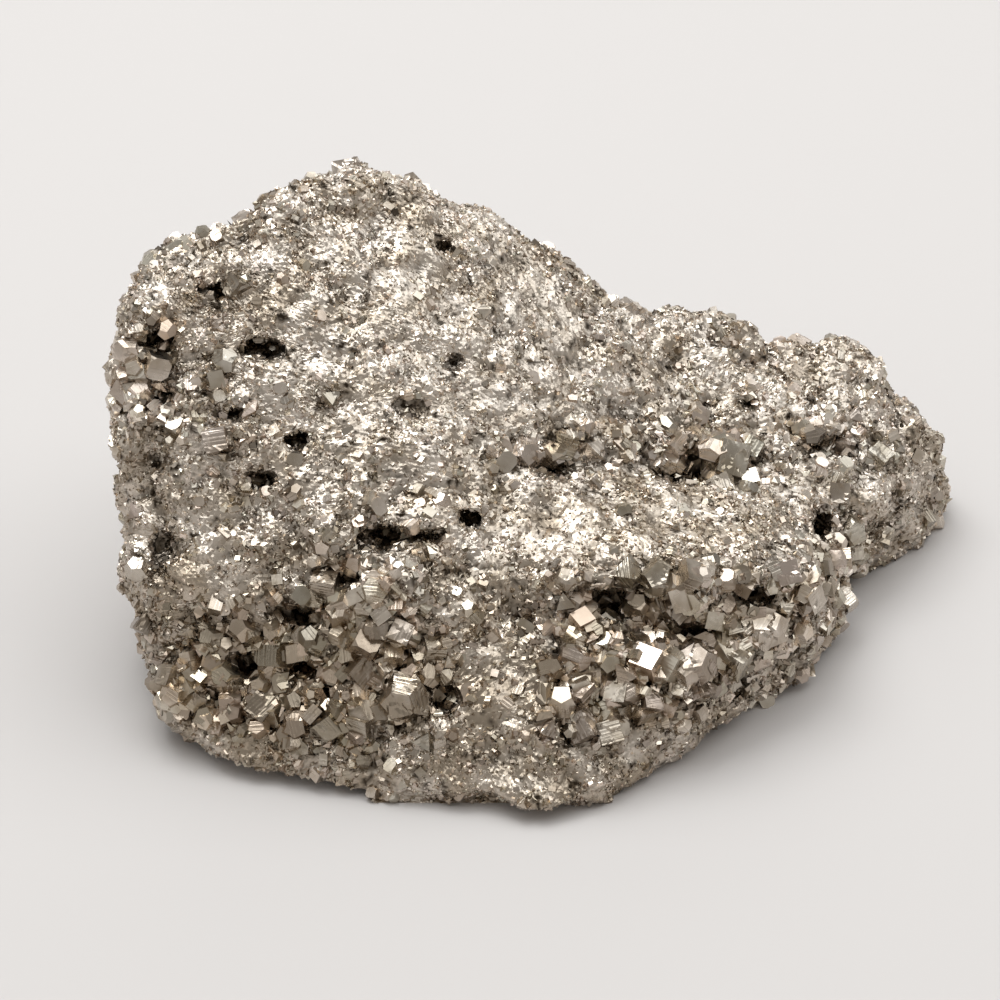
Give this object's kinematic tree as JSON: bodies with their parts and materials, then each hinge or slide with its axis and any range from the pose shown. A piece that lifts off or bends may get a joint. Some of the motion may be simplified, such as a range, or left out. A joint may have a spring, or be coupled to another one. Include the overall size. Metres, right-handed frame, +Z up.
{
  "type": "pyrite specimen",
  "caption": "Hand-sized natural lump of crystalline pyrite with a tall end, two lower lobes, flat-faced crystals, pits and a flat base to rest on.",
  "frame": {"origin": "under the middle of the lump's box, on its flat base", "axes": "+X along the lump's long side, from the tall end to the low end, -Y towards its best face, +Z up"},
  "size_m": [0.0886, 0.0682, 0.0465],
  "materials": {
    "pyrite": "metallic, pale brassy grey, with bright sparkling crystal faces and dark pits"
  },
  "bodies": {
    "root": {"pyrite_cluster": "pyrite"}
  },
  "joints": []
}
